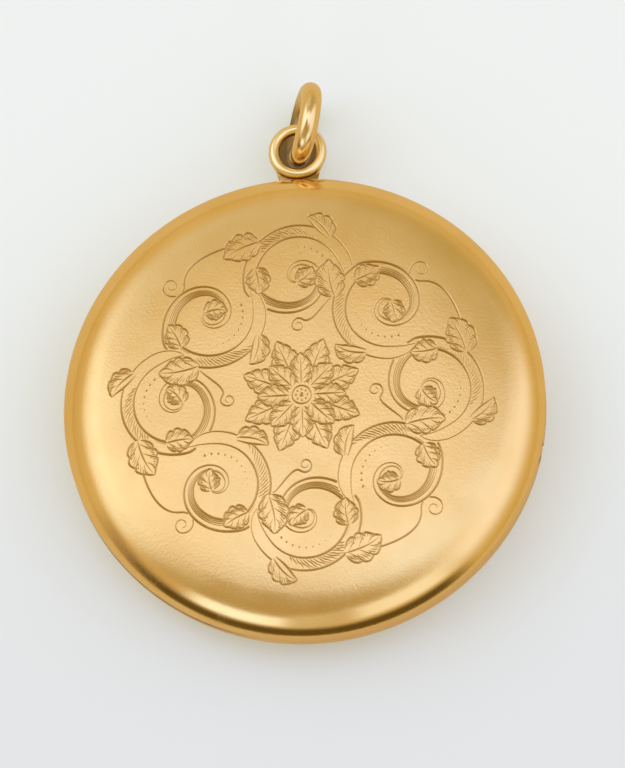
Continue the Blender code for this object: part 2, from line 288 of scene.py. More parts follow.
def mapRange(tree, value, fromMin, fromMax, toMin=0.0, toMax=1.0, kind='SMOOTHSTEP'):
    node = tree.nodes.new('ShaderNodeMapRange')
    node.interpolation_type = kind
    for label, item in (("Value", value), ("From Min", fromMin), ("From Max", fromMax),
                        ("To Min", toMin), ("To Max", toMax)):
        feed(tree, node.inputs[label], item)
    return node.outputs["Result"]


def fade(tree, value, full, none):
    return mapRange(tree, value, full, none, 1.0, 0.0)


def mixValue(tree, factor, one, two):
    return mapRange(tree, factor, 0.0, 1.0, one, two, 'LINEAR')


def mixColour(tree, factor, one, two):
    node = tree.nodes.new('ShaderNodeMix')
    node.data_type = 'RGBA'
    for place, value in ((0, factor), (6, one), (7, two)):      # the colour sockets of the mix node
        feed(tree, node.inputs[place], value)
    return node.outputs[2]


def objectSpace(tree):
    return tree.nodes.new('ShaderNodeTexCoord').outputs["Object"]


def noise(tree, scale, detail=2.0, roughness=0.5, vector=None):
    node = tree.nodes.new('ShaderNodeTexNoise')
    vector = objectSpace(tree) if vector is None else vector
    for label, value in (("Scale", scale), ("Detail", detail), ("Roughness", roughness),
                         ("Vector", vector)):
        feed(tree, node.inputs[label], value)
    return node.outputs["Fac"]


def splitAxes(tree):
    node = tree.nodes.new('ShaderNodeSeparateXYZ')
    tree.links.new(objectSpace(tree), node.inputs[0])
    return node.outputs[0], node.outputs[1], node.outputs[2]


def hypotenuse(tree, a, b):
    return mathNode(tree, 'SQRT', mathNode(tree, 'ADD', times(tree, a, a), times(tree, b, b)))


def bumpNode(tree, height, distance):
    node = tree.nodes.new('ShaderNodeBump')
    node.inputs["Distance"].default_value = distance * mm
    tree.links.new(height, node.inputs["Height"])
    return node.outputs["Normal"]


surfaceShape = {
    # from where to where a noise turns into a mask
    "drift": (0.32, 0.72), "handled": (0.3, 0.7), "scratched": (0.48, 0.66), "scratchedScale": 260.0,
    # level of the noise that a scratch follows, then the turn and the stretch of each direction
    "scratchLevel": 0.62, "scratchRuns": ((0.5, 28.0), (1.9, 22.0), (2.75, 34.0)),
    "cloudShare": 0.12,
}


def makeToneDrift():
    # slow drift of the alloy's colour over a few millimetres
    group, ins, outs = newGroup("toneDrift", {"Pale": (0.9, 0.62, 0.25, 1.0), "Deep": (0.8, 0.5, 0.17, 1.0),
                                              "Scale": 160.0}, "Color")
    drift = mapRange(group, noise(group, ins["Scale"], 3.0, 0.55), *surfaceShape["drift"])
    group.links.new(mixColour(group, drift, ins["Pale"], ins["Deep"]), outs["Color"])
    return group


def makeSatinBloom():
    # frosted skin of fine gold: a stipple of a few hundredths of a millimetre
    group, ins, outs = newGroup("satinBloom", {"Scale": 16000.0}, "Height", "Cloud")
    coarse = times(group, ins["Scale"], surfaceShape["cloudShare"])
    group.links.new(noise(group, ins["Scale"], 2.0, 0.6), outs["Height"])
    group.links.new(noise(group, coarse, 3.0, 0.6), outs["Cloud"])
    return group


def makeHairLines():
    # fine wear scratches in three directions
    group, ins, outs = newGroup("hairLines", {"Scale": 420.0, "Reach": 0.035}, "Mask")
    coords = objectSpace(group)
    total = None
    for turn, stretch in surfaceShape["scratchRuns"]:
        place = group.nodes.new('ShaderNodeMapping')
        place.inputs["Rotation"].default_value = (0.0, 0.0, turn)
        place.inputs["Scale"].default_value = (1.0, stretch, stretch)
        group.links.new(coords, place.inputs["Vector"])
        grain = noise(group, ins["Scale"], 1.0, 0.4, place.outputs["Vector"])
        near = mathNode(group, 'ABSOLUTE', minus(group, grain, surfaceShape["scratchLevel"]))
        line = fade(group, near, 0.0, ins["Reach"])
        total = line if total is None else mathNode(group, 'MAXIMUM', total, line)
    patch = mapRange(group, noise(group, surfaceShape["scratchedScale"]), *surfaceShape["scratched"])
    group.links.new(times(group, total, patch), outs["Mask"])
    return group


def makeHandling():
    # rubbed bright and left dull in patches by years of handling
    group, ins, outs = newGroup("handling", {"Scale": 230.0, "Low": 0.3, "High": 0.4}, "Roughness")
    cloud = noise(group, ins["Scale"], 4.0, 0.6)
    rough = mapRange(group, cloud, *surfaceShape["handled"], ins["Low"], ins["High"])
    group.links.new(rough, outs["Roughness"])
    return group


# masks for old polish and painted shade at the seam, the hinge hollows, the eye and its foot
grimeAndShadeShape = {
    # where each mask starts and ends, in millimetres
    "seam": (0.09, 0.3), "worn": (-9.0, -3.0), "lip": (-0.25, -0.125), "past": (0.02, 0.1),
    "hollow": (17.0, 17.6), "skin": (-0.05, -0.025), "hollowTall": (0.85, 0.935), "hollowLevel": 0.2,
    "eye": (1.45, 1.62), "eyeLevel": (0.2, 0.38), "foot": (0.9, 1.5), "footLevel": (0.14, 0.28),
    "seamLeast": 0.08, "patchScale": 700.0, "patch": (0.3, 0.7), "patchLeast": 0.7,
}
eyeLow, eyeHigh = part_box("pendant_eye")
eyeMiddleY, eyeMiddleZ = eyeHigh.y - eyeHigh.x, (eyeLow.z + eyeHigh.z) / 2.0


def makeGrimeAndShade():
    # old polish and painted shade: darker along the seam, most on the left, in the hollows round the hinge
    # and inside the eye, and painted shade on the solder foot under the wire
    group, ins, outs = newGroup("grimeAndShade", {"Patch Scale": grimeAndShadeShape["patchScale"]}, "Mask")
    x, y, z = splitAxes(group)
    radius = hypotenuse(group, x, y)
    eyeLevel = eyeMiddleZ / mm

    def span(value, name, base=0.0, first=1.0, last=0.0):
        start, end = grimeAndShadeShape[name]
        return mapRange(group, value, (base + start) * mm, (base + end) * mm, first, last)

    def offLevel(level):
        return mathNode(group, 'ABSOLUTE', minus(group, z, level * mm))

    onCase = span(radius, "past", caseRadius)
    # painted shade of the step at the seam, with old polish in it; it fades towards +X
    seam = times(group, span(offLevel(seamZ), "seam"), onCase, span(radius, "lip", caseRadius, 0.0, 1.0),
                 span(x, "worn", last=grimeAndShadeShape["seamLeast"]))
    # painted shade with old polish in the hollows round the hinge
    hollow = times(group, span(x, "hollow", 0.0, 0.0, 1.0), span(radius, "skin", caseRadius),
                   span(offLevel(seamZ + grimeAndShadeShape["hollowLevel"]), "hollowTall"))
    # painted shade with old polish inside the eye, up to a little above its middle
    fromEye = hypotenuse(group, x, minus(group, y, eyeMiddleY))
    eye = times(group, span(fromEye, "eye"), span(z, "eyeLevel", eyeLevel))
    # painted shade on the solder foot, below the wire
    foot = times(group, span(radius, "foot", caseRadius), span(z, "footLevel", eyeLevel),
                 minus(group, 1.0, onCase))
    mask = seam
    for more in (hollow, eye, foot):
        mask = mathNode(group, 'MAXIMUM', mask, more)
    patch = mapRange(group, noise(group, ins["Patch Scale"]), *grimeAndShadeShape["patch"],
                     grimeAndShadeShape["patchLeast"])
    group.links.new(times(group, mask, patch), outs["Mask"])
    return group


groups = {"toneDrift": makeToneDrift(), "satinBloom": makeSatinBloom(), "hairLines": makeHairLines(),
          "handling": makeHandling(), "grimeAndShade": makeGrimeAndShade()}
print("shader groups ready:", ", ".join(groups))


def useGroup(tree, name, values):
    node = tree.nodes.new('ShaderNodeGroup')
    node.node_tree = groups[name]
    for label, value in values.items():
        node.inputs[label].default_value = value
    return node.outputs


def newMaterial(name):
    material = bpy.data.materials.new(name)
    material.use_nodes = True
    tree = material.node_tree
    return material, tree, tree.nodes["Principled BSDF"]


satinGold = {
    "pale": (0.905, 0.640, 0.262, 1.0), "deep": (0.870, 0.585, 0.215, 1.0), "driftScale": 150.0,
    "bright": 0.27, "dull": 0.34, "edgeRoughness": 0.12, "edgeBloom": 0.08, "rubFrom": 16.7, "rubTo": 18.0,
    "rubWander": 0.4, "rubScale": 260.0, "bloomScale": 5000.0, "bloomHeight": 0.5, "scratchScale": 380.0,
    "scratchReach": 0.03, "scratchHeight": 0.03, "scratchRoughness": 0.02, "bump": 0.026,
    "cutTone": (0.57, 0.35, 0.11, 1.0), "cutRoughness": 0.28, "cutFull": 0.03,
    # dark brown and roughness of old polish and painted shade
    "grimeAndShadeTone": (0.14, 0.08, 0.025, 1.0), "grimeAndShadeRoughness": 0.45,
}
polishedGold = {
    "pale": (0.900, 0.610, 0.225, 1.0), "deep": (0.850, 0.545, 0.180, 1.0), "driftScale": 260.0,
    "bright": 0.15, "dull": 0.25, "bloomScale": 9000.0, "bloomHeight": 0.2, "scratchScale": 520.0,
    "scratchReach": 0.03, "scratchHeight": 0.6, "scratchRoughness": 0.06, "bump": 0.004,
    # dark brown and roughness of old polish and painted shade
    "grimeAndShadeTone": (0.14, 0.08, 0.025, 1.0), "grimeAndShadeRoughness": 0.4,
}
# the eye's own paler gold; its old polish and painted shade are a warmer brown
eyeGold = dict(polishedGold, pale=(0.95, 0.76, 0.37, 1.0), deep=(0.92, 0.70, 0.30, 1.0),
               bright=0.2, dull=0.3, grimeAndShadeTone=(0.30, 0.15, 0.015, 1.0))
# the ring is darker towards its low side: painted shade, with some tarnish
ringGold = dict(polishedGold, pale=(0.89, 0.65, 0.29, 1.0), deep=(0.84, 0.58, 0.23, 1.0),
                tarnishShadeFrom=3.4, tarnishShadeTo=1.2, tarnishShadeMost=0.8)
pinGold = dict(polishedGold, pale=(0.78, 0.60, 0.32, 1.0), deep=(0.70, 0.52, 0.26, 1.0),
               bright=0.26, dull=0.36)


def driftTone(tree, look):
    values = {"Pale": look["pale"], "Deep": look["deep"], "Scale": look["driftScale"]}
    return useGroup(tree, "toneDrift", values)["Color"]


def handledRoughness(tree, look):
    return useGroup(tree, "handling", {"Low": look["bright"], "High": look["dull"]})["Roughness"]


def scratchMask(tree, look):
    values = {"Scale": look["scratchScale"], "Reach": look["scratchReach"]}
    return useGroup(tree, "hairLines", values)["Mask"]


def joinShader(tree, shader, tone, rough, height, distance):
    tree.links.new(tone, shader.inputs["Base Color"])
    tree.links.new(rough, shader.inputs["Roughness"])
    tree.links.new(bumpNode(tree, height, distance), shader.inputs["Normal"])


def goldFinish(name, look, engraved=False):
    material, tree, shader = newMaterial(name)
    tone, rough, scratch = driftTone(tree, look), handledRoughness(tree, look), scratchMask(tree, look)
    bloom = useGroup(tree, "satinBloom", {"Scale": look["bloomScale"]})["Height"]
    height = times(tree, bloom, look["bloomHeight"])
    if "edgeRoughness" in look:
        # the roll of the case is rubbed bright and loses its frosting
        x, y, _ = splitAxes(tree)
        wander = times(tree, minus(tree, noise(tree, look["rubScale"]), 0.5), look["rubWander"] * mm)
        radius = mathNode(tree, 'ADD', hypotenuse(tree, x, y), wander)
        rub = mapRange(tree, radius, look["rubFrom"] * mm, look["rubTo"] * mm)
        rough = mixValue(tree, rub, rough, look["edgeRoughness"])
        height = times(tree, height, mixValue(tree, rub, 1.0, look["edgeBloom"]))
    if engraved:
        # old polish left in the cuts
        depth = tree.nodes.new('ShaderNodeAttribute')
        depth.attribute_name = "cutDepth"
        inCut = mapRange(tree, depth.outputs["Fac"], 0.0, look["cutFull"])
        tone = mixColour(tree, inCut, tone, look["cutTone"])
        rough = mixValue(tree, inCut, rough, look["cutRoughness"])
    # old polish and painted shade: the seam, the hinge hollows, the eye and its foot are darkened towards a
    # dark brown
    dirtAndShade = useGroup(tree, "grimeAndShade", {})["Mask"]
    if "tarnishShadeFrom" in look:
        # painted shade with some tarnish: the ring is darker towards its low side, under the eye
        level = splitAxes(tree)[2]
        tarnishAndShade = mapRange(tree, level, look["tarnishShadeTo"] * mm, look["tarnishShadeFrom"] * mm, look["tarnishShadeMost"], 0.0)
        dirtAndShade = mathNode(tree, 'MAXIMUM', dirtAndShade, tarnishAndShade)
    tone = mixColour(tree, dirtAndShade, tone, look["grimeAndShadeTone"])
    rough = mixValue(tree, dirtAndShade, rough, look["grimeAndShadeRoughness"])
    rough = mathNode(tree, 'ADD', rough, times(tree, scratch, look["scratchRoughness"]))
    height = minus(tree, height, times(tree, scratch, look["scratchHeight"]))
    shader.inputs["Metallic"].default_value = 1.0
    joinShader(tree, shader, tone, rough, height, look["bump"])
    return material


clearSheet = {"pale": (0.97, 0.96, 0.92, 1.0), "deep": (0.93, 0.90, 0.80, 1.0), "driftScale": 90.0,
              "bright": 0.015, "dull": 0.07, "scratchScale": 450.0, "scratchReach": 0.02,
              "scratchHeight": 0.4, "bump": 0.002, "ior": 1.49}


def windowFinish(look):
    # old celluloid; light for the picture below passes straight through
    material, tree, shader = newMaterial("clearSheet")
    height = times(tree, scratchMask(tree, look), look["scratchHeight"])
    shader.inputs["Transmission Weight"].default_value = 1.0
    shader.inputs["IOR"].default_value = look["ior"]
    joinShader(tree, shader, driftTone(tree, look), handledRoughness(tree, look), height, look["bump"])
    clear = tree.nodes.new('ShaderNodeBsdfTransparent')
    path = tree.nodes.new('ShaderNodeLightPath')
    blend = tree.nodes.new('ShaderNodeMixShader')
    sources = (path.outputs["Is Shadow Ray"], shader.outputs[0], clear.outputs[0])
    for socket, source in zip(blend.inputs, sources):
        tree.links.new(source, socket)
    tree.links.new(blend.outputs[0], tree.nodes["Material Output"].inputs["Surface"])
    return material


agedPaper = {"pale": (0.74, 0.64, 0.47, 1.0), "deep": (0.63, 0.51, 0.34, 1.0), "driftScale": 190.0,
             "spot": (0.42, 0.27, 0.13, 1.0), "spotScale": 420.0, "spots": (0.66, 0.74), "spotMost": 0.6,
             "fibreScale": 5200.0, "fibres": (0.55, 0.8), "fibreMost": 0.25,
             "bright": 0.55, "dull": 0.75, "bump": 0.01}
backingCard = dict(agedPaper, pale=(0.46, 0.35, 0.22, 1.0), deep=(0.38, 0.28, 0.17, 1.0), driftScale=240.0,
                   spot=(0.26, 0.17, 0.09, 1.0), fibreScale=3600.0, bright=0.8, dull=0.95, bump=0.02)


def paperFinish(name, look):
    # rag paper with fibres and a few brown age spots
    material, tree, shader = newMaterial(name)
    spots = times(tree, mapRange(tree, noise(tree, look["spotScale"]), *look["spots"]), look["spotMost"])
    fibre = useGroup(tree, "satinBloom", {"Scale": look["fibreScale"]})
    tone = mixColour(tree, spots, driftTone(tree, look), look["spot"])
    cloud = mapRange(tree, fibre["Cloud"], *look["fibres"], 0.0, look["fibreMost"])
    tone = mixColour(tree, cloud, tone, look["deep"])
    joinShader(tree, shader, tone, handledRoughness(tree, look), fibre["Height"], look["bump"])
    return material


finishes = {
    "engraved": goldFinish("engravedGold", satinGold, engraved=True),
    "satin": goldFinish("satinGold", satinGold),
    "polished": goldFinish("polishedGold", polishedGold),
    "eye": goldFinish("eyeGold", eyeGold),
    "ring": goldFinish("ringGold", ringGold),
    "pin": goldFinish("pinGold", pinGold),
    "window": windowFinish(clearSheet),
    "paper": paperFinish("agedPaper", agedPaper),
    "card": paperFinish("backingCard", backingCard),
}
print("finishes ready:", ", ".join(finishes))


# Engraving: every stroke is a line of points with a half width, in millimetres on the face
engraving = {"strokes": [], "pits": []}
strokeStyle = {"step": 0.12, "thin": 0.03, "thick": 0.085, "weight": 1.4, "clear": 0.15, "perTurn": 60,
               "stemSteps": 40, "closing": 0.9, "slope": 0.58, "shallow": 0.003, "deepest": 0.09,
               "tolerance": 0.002,
               # loose points that keep the triangles between the strokes even
               "fillFrom": 1.5, "fillClear": 0.3, "fillStep": 0.75, "fillDensity": 8}


def polar(radius, degrees):
    return radius * math.cos(math.radians(degrees)), radius * math.sin(math.radians(degrees))


def resample(points, step):
    out = [points[0]]
    left = step
    for (x0, y0), (x1, y1) in zip(points, points[1:]):
        length = math.dist((x0, y0), (x1, y1))
        while left <= length:
            out.append((x0 + (x1 - x0) * left / length, y0 + (y1 - y0) * left / length))
            left += step
        left -= length
    return out


def withHeadings(points):
    last = len(points) - 1
    path = []
    for k, (x, y) in enumerate(points):
        a, b = points[max(0, k - 1)], points[min(last, k + 1)]
        path.append((x, y, math.atan2(b[1] - a[1], b[0] - a[0])))
    return path


def scrollPath(start, heading, centre, outer, inner, enter, hold, turns, sense):
    # a stem that runs into a spiral, which holds its radius for a while and then closes
    spiral = []
    count = int(strokeStyle["perTurn"] * turns)
    for k in range(count + 1):
        share = k / count
        closing = max(0.0, (share - hold) / (1.0 - hold)) ** strokeStyle["closing"]
        x, y = polar(outer * (inner / outer) ** closing, enter + sense * share * turns * 360.0)
        spiral.append((centre[0] + x, centre[1] + y))
    end = Vector(spiral[0])
    leave = Vector(polar(1.0, heading))
    arrive = (Vector(spiral[1]) - end).normalized()
    reach = (end - Vector(start)).length
    stem = []
    for k in range(strokeStyle["stemSteps"]):
        t = k / strokeStyle["stemSteps"]
        point = (Vector(start) * (2 * t ** 3 - 3 * t ** 2 + 1) + leave * reach * (t ** 3 - 2 * t ** 2 + t)
                 + end * (3 * t ** 2 - 2 * t ** 3) + arrive * reach * (t ** 3 - t ** 2))
        stem.append(tuple(point))
    return withHeadings(resample(stem + spiral, strokeStyle["step"]))


def sweepPath(x, y, heading, length, bendStart, bendEnd, count):
    step = length / count
    angle = math.radians(heading)
    path = [(x, y, angle)]
    for k in range(count):
        bend = bendStart + (bendEnd - bendStart) * (k + 0.5) / count
        x += math.cos(angle + bend * step / 2.0) * step
        y += math.sin(angle + bend * step / 2.0) * step
        angle += bend * step
        path.append((x, y, angle))
    return path


def aside(point, offset):
    # to the left of a point that has a heading
    x, y, a = point
    return x - math.sin(a) * offset, y + math.cos(a) * offset


def beside(path, offset):
    last = len(path) - 1
    return [aside(point, offset(k / last)) for k, point in enumerate(path)]


def onPath(path, share, offset):
    point = path[int(round(share * (len(path) - 1)))]
    return aside(point, offset) + (math.degrees(point[2]),)


def smoothed(points, per):
    # a curve through every point
    line = [points[0]] + list(points) + [points[-1]]
    out = []
    for p0, p1, p2, p3 in zip(line, line[1:], line[2:], line[3:]):
        for j in range(per):
            t = j / per
            out.append(tuple(0.5 * (2 * b + (c - a) * t + (2 * a - 5 * b + 4 * c - d) * t ** 2
                                    + (3 * b - 3 * c + d - a) * t ** 3)
                             for a, b, c, d in zip(p0, p1, p2, p3)))
    out.append(points[-1])
    return out


def isInside(x, y, loop):
    hit = False
    for (x0, y0), (x1, y1) in zip(loop, loop[1:] + loop[:1]):
        if (y0 > y) != (y1 > y) and x < (x1 - x0) * (y - y0) / (y1 - y0) + x0:
            hit = not hit
    return hit


def clearUnder(loop):
    # what lies on top hides the strokes under it
    lowX, highX = min(p[0] for p in loop), max(p[0] for p in loop)
    lowY, highY = min(p[1] for p in loop), max(p[1] for p in loop)

    def hidden(x, y):
        return lowX <= x <= highX and lowY <= y <= highY and isInside(x, y, loop)

    kept = []
    for stroke in engraving["strokes"]:
        run = []
        for x, y, w in stroke:
            if not hidden(x, y):
                run.append((x, y, w))
                continue
            kept.append(run)
            run = []
        kept.append(run)
    engraving["strokes"] = [run for run in kept if len(run) > 2]
    engraving["pits"] = [pit for pit in engraving["pits"] if not hidden(pit[0], pit[1])]


def cutLine(points, thin=None, thick=None, peak=0.5):
    # a stroke that swells from a thin start to its peak and runs out thin again
    thin = strokeStyle["thin"] if thin is None else thin
    thick = strokeStyle["thick"] if thick is None else thick
    last = len(points) - 1
    stroke = []
    for k, (x, y) in enumerate(points):
        share = k / last
        rise = share / peak if share < peak else (1.0 - share) / (1.0 - peak)
        width = thin + (thick - thin) * math.sin(rise * math.pi / 2.0)
        stroke.append((x, y, width * strokeStyle["weight"]))
    engraving["strokes"].append(stroke)


ribbonShape = {
    "width": 1.0, "swell": 0.10, "close": 0.62, "fullness": 0.8,
    # shares of the length, and half widths of the thin and the thick end of a cut
    "hatch": (0.20, 0.40), "hatchPitch": 0.30, "hatchShort": 0.35, "hatchSlant": 1.8, "hatchReach": 0.84,
    "hatchLeast": 0.2, "hatchWidths": (0.02, 0.045),
    # a bundle of lines that follows one edge: place across the ribbon and how much is trimmed off both ends
    "bundle": (0.42, 0.9), "bundleLines": ((0.62, 0.0), (0.28, 0.06), (-0.06, 0.12)),
    "bundleWidths": (0.02, 0.05),
}


def hatchBand(path, half):
    # slanted shading lines across a ribbon, short at both ends of the band
    end, step, pitch = len(path) - 1, strokeStyle["step"], ribbonShape["hatchPitch"]
    first, last = ribbonShape["hatch"]
    short, reach, pieces = ribbonShape["hatchShort"], ribbonShape["hatchReach"], 5
    count = int((last - first) * end * step / pitch)
    for i in range(count):
        along = first * end * step + i * pitch
        grown = min(1.0, 4.0 * i / count + short, 4.0 * (count - 1 - i) / count + short)
        slant = ribbonShape["hatchSlant"] * half(along / step / end) * grown
        points = []
        for j in range(pieces + 1):
            k = min(end, int(round((along + slant * j / pieces) / step)))
            points.append(aside(path[k], half(k / end) * (reach - 2.0 * reach * grown * j / pieces)))
        if math.dist(points[0], points[-1]) > ribbonShape["hatchLeast"]:
            cutLine(points, *ribbonShape["hatchWidths"], 0.4)


def ribbon(path, side):
    # two swelling edges, a hatched stretch and a bundle of lines inside one edge
    def half(share):
        swell = min(1.0, share / ribbonShape["swell"])
        close = min(1.0, (1.0 - share) / ribbonShape["close"])
        full = math.sin(swell * math.pi / 2.0) * math.sin(close * math.pi / 2.0)
        return ribbonShape["width"] / 2.0 * full ** ribbonShape["fullness"]

    spare = strokeStyle["clear"]
    left, right = beside(path, lambda s: half(s) + spare), beside(path, lambda s: -half(s) - spare)
    clearUnder(left[::4] + right[::-4])
    cutLine(beside(path, half))
    cutLine(beside(path, lambda s: -half(s)))
    last = len(path) - 1
    first, end = ribbonShape["bundle"]
    for place, trim in ribbonShape["bundleLines"]:
        line = beside(path, lambda s: side * half(s) * place)
        cutLine(line[int((first + trim) * last):int((end - trim) * last)], *ribbonShape["bundleWidths"])
    hatchBand(path, half)


leafShape = {
    "ribSteps": 80, "lobesFrom": 0.06, "lobesTo": 0.84, "plainEdge": 0.55,
    # shares of the bend at both ends, then the width at the stalk and how it swells
    "bends": (0.3, 1.7), "stalk": 0.14, "widest": 1.1, "fullness": 0.85,
    # along one lobe and out from the rib
    "lobe": ((-0.05, 0.5), (0.04, 0.82), (0.35, 1.10), (0.75, 1.13), (1.12, 0.98), (1.28, 0.80)),
    # lines per lobe, the last one a vein, and how near to the rib each kind starts
    "lines": 4, "lineOut": 0.96, "lineSweep": 1.15, "veinIn": 0.12, "shadeIn": 0.42, "lightIn": 0.66,
    "edgeWidths": (0.03, 0.075), "ribWidths": (0.02, 0.06),
    "veinWidths": (0.015, 0.05), "lineWidths": (0.015, 0.04),
}


def leaf(x, y, heading, length, width, bend=0.0, lobes=4, sides=(1, -1), shaded=1):
    # a lobed leaf on a curved rib, with veins that flow back to the rib
    steps, first, last = leafShape["ribSteps"], leafShape["lobesFrom"], leafShape["lobesTo"]
    rib = sweepPath(x, y, heading, length, *[bend * share for share in leafShape["bends"]], steps)
    lobe = (last - first) / lobes
    stalk = leafShape["stalk"]

    def at(share, reach, side):
        share = max(0.0, min(1.0, share))
        grown = (stalk + (1.0 - stalk) * share) ** leafShape["widest"]
        full = math.sin(math.pi * grown) ** leafShape["fullness"]
        return aside(rib[int(round(share * steps))], side * reach * width / 2.0 * full)

    outline = {1: [], -1: []}
    for side, edges in outline.items():
        if side not in sides:
            edges.append([at(0.02 + 0.98 * k / 16.0, leafShape["plainEdge"], side) for k in range(17)])
            continue
        for k in range(lobes):
            base = first + lobe * k
            marks = [at(base + along * lobe, out, side) for along, out in leafShape["lobe"]]
            edges.append(smoothed(marks, 3))
        tip = ((last - 0.05 * lobe, 0.5), (last + 0.03, 0.85), (0.94, 0.95), (1.0, 0.0))
        edges.append(smoothed([at(along, out, side) for along, out in tip], 4))
    clearUnder([p for edge in outline[1] for p in edge] + [p for edge in outline[-1] for p in edge][::-1])
    lines, out = leafShape["lines"], leafShape["lineOut"]
    for side, edges in outline.items():
        for edge in edges:
            cutLine(edge, *leafShape["edgeWidths"], 0.55)
        if side not in sides:
            continue
        for row in range(lobes * lines):
            start = first + (last - first) * (row + 0.5) / (lobes * lines) + lobe * 0.3
            vein = row % lines == lines - 1
            near = leafShape["veinIn" if vein else "shadeIn" if side == shaded else "lightIn"]
            reaches = [out + (near - out) * j / 5.0 for j in range(6)]
            sweep = leafShape["lineSweep"] * lobe
            cutLine([at(start - sweep * (1.0 - reach) ** 1.3, reach, side) for reach in reaches],
                    *leafShape["veinWidths" if vein else "lineWidths"], 0.35)
    cutLine([point[:2] for point in rib[2:76:3]], *leafShape["ribWidths"], 0.25)


wreath = {
    "bays": 8, "ringRadius": 9.9, "petals": 8, "turnedBy": 90.0,
    "spiralEnd": 0.45, "spiralHold": 0.26, "spiralTurns": 1.75,
    "dotCount": 10, "dotBig": 0.12, "dotSmall": 0.045, "dotReach": 2.55, "dotFrom": -62.0, "dotSpan": 110.0,
    # where tendrils leave the ribbon, how far past the gap they curl, and how they are cut
    "tendrilFrom": 0.36, "tendrilOffset": -0.45, "tendrilPast": 1.0, "tendrilHold": 0.1,
    "tendrilThick": 0.07, "tendrilPeak": 0.35,
    # by side: turn off the ribbon, place of the curl, its outer and inner radius, entry, turns, sense
    "tendrils": {1: (-30.0, 13.95, 1.0, 0.25, 230.0, 1.5, -1), -1: (30.0, 5.75, 0.62, 0.2, -40.0, 1.4, 1)},
    # place along the ribbon, offset, turn, length, width, bend, whether both sides are lobed
    "leaves": ((0.985, 0.0, 30.0, 1.9, 1.5, 0.5, True), (0.37, -0.4, -30.0, 3.3, 2.1, 0.16, True),
               (0.45, 0.35, 30.0, 2.3, 1.7, -0.2, True), (0.16, -0.3, -24.0, 2.7, 1.7, 0.3, False)),
    # start, length, width, lobes, share of a petal's turn
    "rosette": ((1.4, 3.5, 1.9, 4, 0.5), (0.9, 2.6, 1.7, 3, 0.0)),
    "heart": 0.75, "seed": 0.2, "seedRing": 0.45, "smallSeed": 0.1,
}


def drawWreath():
    # a running scroll of alternating spirals round a leaf rosette
    ring, span = wreath["ringRadius"], 360.0 / wreath["bays"]
    reach = 2.0 * ring * math.sin(math.radians(span / 4.0))
    bays = []
    for k in range(wreath["bays"]):
        turn = wreath["turnedBy"] + k * span
        side = 1 if k % 2 == 0 else -1
        leave, enter = (0.0, -60.0) if side > 0 else (180.0, -120.0)
        start = turn - span / 2.0
        path = scrollPath(polar(ring, start), start + leave, polar(ring, turn), reach, wreath["spiralEnd"],
                          turn + enter, wreath["spiralHold"], wreath["spiralTurns"], side)
        bays.append((path, side, turn))
    for path, side, turn in bays:
        # tendrils into the gaps outside and inside the ring, and dots along each spiral
        gap = turn + span
        x, y, a = onPath(path, wreath["tendrilFrom"], wreath["tendrilOffset"] * side)
        swing, away, outer, inner, enter, turns, sense = wreath["tendrils"][side]
        curl = scrollPath((x, y), a + swing, polar(away, gap + wreath["tendrilPast"]), outer, inner,
                          gap + enter, wreath["tendrilHold"], turns, sense)
        cutLine([point[:2] for point in curl], thick=wreath["tendrilThick"], peak=wreath["tendrilPeak"])
        middle = polar(ring, turn)
        for i in range(wreath["dotCount"]):
            share = i / (wreath["dotCount"] - 1)
            swing = side * (wreath["dotSpan"] * share + wreath["dotFrom"])
            x, y = polar(wreath["dotReach"], turn + (0.0 if side > 0 else 180.0) + swing)
            size = wreath["dotBig"] + (wreath["dotSmall"] - wreath["dotBig"]) * share
            engraving["pits"].append((middle[0] + x, middle[1] + y, size))
    for path, side, _ in bays:
        ribbon(path, side)
    for path, side, _ in bays:
        for share, offset, swing, length, width, bend, both in wreath["leaves"]:
            x, y, a = onPath(path, share, offset * side)
            lobed = (1, -1) if both else (-side,)
            leaf(x, y, a + swing * side, length, width, bend * side, 3, lobed, side if swing > 0 else -side)
    petal = 360.0 / wreath["petals"]
    for start, length, width, lobes, offset in wreath["rosette"]:
        for k in range(wreath["petals"]):
            x, y = polar(start, (k + offset) * petal)
            leaf(x, y, (k + offset) * petal, length, width, 0.0, lobes)
    heart = [polar(wreath["heart"], k * 15.0) for k in range(25)]
    clearUnder(heart)
    cutLine(heart, 0.05, 0.06)
    engraving["pits"].append((0.0, 0.0, wreath["seed"]))
    for k in range(wreath["petals"]):
        engraving["pits"].append(polar(wreath["seedRing"], k * petal) + (wreath["smallSeed"],))


def cutDepths(points):
    # depth of the cuts under each point: steep sides, deepest along the middle of a stroke
    depth = np.zeros(len(points))
    order = np.argsort(points[:, 0])
    sortedX = points[order, 0]
    for stroke in engraving["strokes"]:
        line = np.array(stroke)
        wide = line[:, 2].max()
        lowX, highX = np.searchsorted(sortedX, (line[:, 0].min() - wide, line[:, 0].max() + wide))
        near = order[lowX:highX]
        y = points[near, 1]
        near = near[(y > line[:, 1].min() - wide) & (y < line[:, 1].max() + wide)]
        if not len(near):
            continue
        start, run = line[:-1, :2], np.diff(line[:, :2], axis=0)
        gap = points[near][:, None, :] - start[None]
        share = np.clip((gap * run).sum(2) / np.maximum((run * run).sum(1), 1e-12), 0.0, 1.0)
        distance = np.linalg.norm(gap - share[..., None] * run, axis=2)
        width = line[:-1, 2] + share * np.diff(line[:, 2])
        depth[near] = np.maximum(depth[near], (width - distance).max(1))
    for x, y, size in engraving["pits"]:
        depth = np.maximum(depth, size - np.hypot(points[:, 0] - x, points[:, 1] - y))
    return np.minimum(depth * strokeStyle["slope"], strokeStyle["deepest"])


